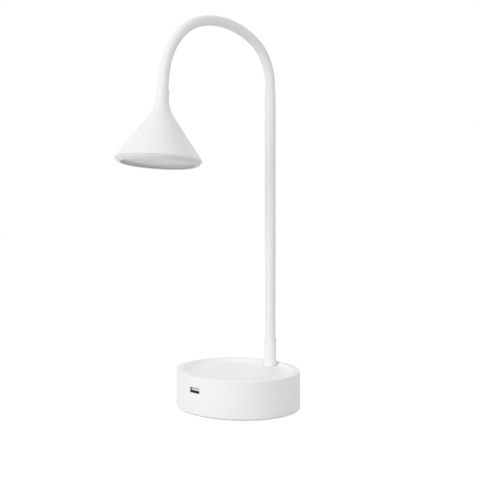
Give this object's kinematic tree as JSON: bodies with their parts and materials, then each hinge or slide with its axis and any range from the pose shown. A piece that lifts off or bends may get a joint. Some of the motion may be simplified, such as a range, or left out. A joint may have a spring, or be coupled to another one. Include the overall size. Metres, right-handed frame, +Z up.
{
  "type": "desk lamp",
  "caption": "Desk lamp with a round drum base that has a dished tray top and a charging port, a flexible arched neck and a small funnel head.",
  "frame": {"origin": "centre of the drum base on the table", "axes": "+Z up, front (charging port) faces -Y, the neck rises at +Y and arches in the plane X = 0"},
  "size_m": [0.124, 0.2105, 0.3862],
  "materials": {
    "housing_white": "fine matte moulding",
    "cover_white": "matte moulding",
    "foot_rubber": "matte rubber",
    "ballast_steel": "zinc-plated plate",
    "screw_steel": "zinc-plated",
    "board_green": "solder mask",
    "choke_copper": "ferrite and enamelled wire",
    "capacitor_can": "sleeved can",
    "port_steel": "nickel-plated shell",
    "port_white": "moulded insulator",
    "port_black": "moulded insulator",
    "touch_copper": "copper foil",
    "pin_gold": "gold-plated",
    "zinc_thread": "zinc-plated",
    "collar_white": "fine matte moulding",
    "sleeve_white": "satin silicone",
    "hose_steel": "wound steel hose",
    "shade_white": "satin paint",
    "ring_white": "satin moulding",
    "diffuser_frost": "frosted acrylic",
    "chip_black": "moulded package",
    "terminal_ivory": "moulded insulator",
    "lead_grey": "flexible sheath",
    "led_white": "white solder mask",
    "spreader_aluminium": "mill finish"
  },
  "bodies": {
    "base": {"base_housing": "housing_white", "bottom_cover": "cover_white", "foot_ring": "foot_rubber", "ballast_plate": "ballast_steel", "cover_screw_1": "screw_steel", "cover_screw_2": "screw_steel", "cover_screw_3": "screw_steel", "cover_screw_4": "screw_steel", "ballast_screw_1": "screw_steel", "ballast_screw_2": "screw_steel", "ballast_screw_3": "screw_steel", "driver_board": "board_green", "board_screw_1": "screw_steel", "board_screw_2": "screw_steel", "board_screw_3": "screw_steel", "board_screw_4": "screw_steel", "power_choke": "choke_copper", "capacitor": "capacitor_can", "driver_chip": "chip_black", "lead_terminal": "terminal_ivory", "usb_a_shell": "port_steel", "usb_a_tongue": "port_white", "usb_c_shell": "port_steel", "usb_c_tongue": "port_black", "touch_pad": "touch_copper", "touch_pin": "pin_gold", "stem_stud": "zinc_thread", "stem_washer": "zinc_thread", "stem_nut": "zinc_thread", "neck_collar": "collar_white", "neck_sleeve_1": "sleeve_white", "neck_hose_1": "hose_steel", "neck_lead_1": "lead_grey"},
    "neck_low": {"neck_sleeve_2": "sleeve_white", "neck_hose_2": "hose_steel", "neck_lead_2": "lead_grey"},
    "neck_stalk": {"neck_sleeve_3": "sleeve_white", "neck_hose_3": "hose_steel", "neck_lead_3": "lead_grey"},
    "neck_crown": {"neck_sleeve_4": "sleeve_white", "neck_hose_4": "hose_steel", "neck_lead_4": "lead_grey"},
    "lamp_head": {"neck_sleeve_5": "sleeve_white", "neck_hose_5": "hose_steel", "neck_lead_5": "lead_grey", "lamp_shade": "shade_white", "bezel_ring": "ring_white", "diffuser": "diffuser_frost", "led_board": "led_white", "heat_spreader": "spreader_aluminium", "head_nipple": "zinc_thread", "head_nut": "zinc_thread", "led_screw_1": "screw_steel", "led_screw_2": "screw_steel", "led_screw_3": "screw_steel"}
  },
  "joints": [
    {"name": "neck_sway", "type": "hinge", "parent": "base", "child": "neck_low", "pos_m": [0, 0.051, 0.092], "axis": [0, 1, 0], "range_deg": [-20, 20]},
    {"name": "neck_lean", "type": "hinge", "parent": "neck_low", "child": "neck_stalk", "pos_m": [0, 0.051, 0.146], "axis": [1, 0, 0], "range_deg": [-15, 20]},
    {"name": "arch_bend", "type": "hinge", "parent": "neck_stalk", "child": "neck_crown", "pos_m": [0, 0.02471, 0.36996], "axis": [1, 0, 0], "range_deg": [-30, 25]},
    {"name": "head_tilt", "type": "hinge", "parent": "neck_crown", "child": "lamp_head", "pos_m": [0, -0.09045, 0.34756], "axis": [1, 0, 0], "range_deg": [-40, 35]}
  ]
}
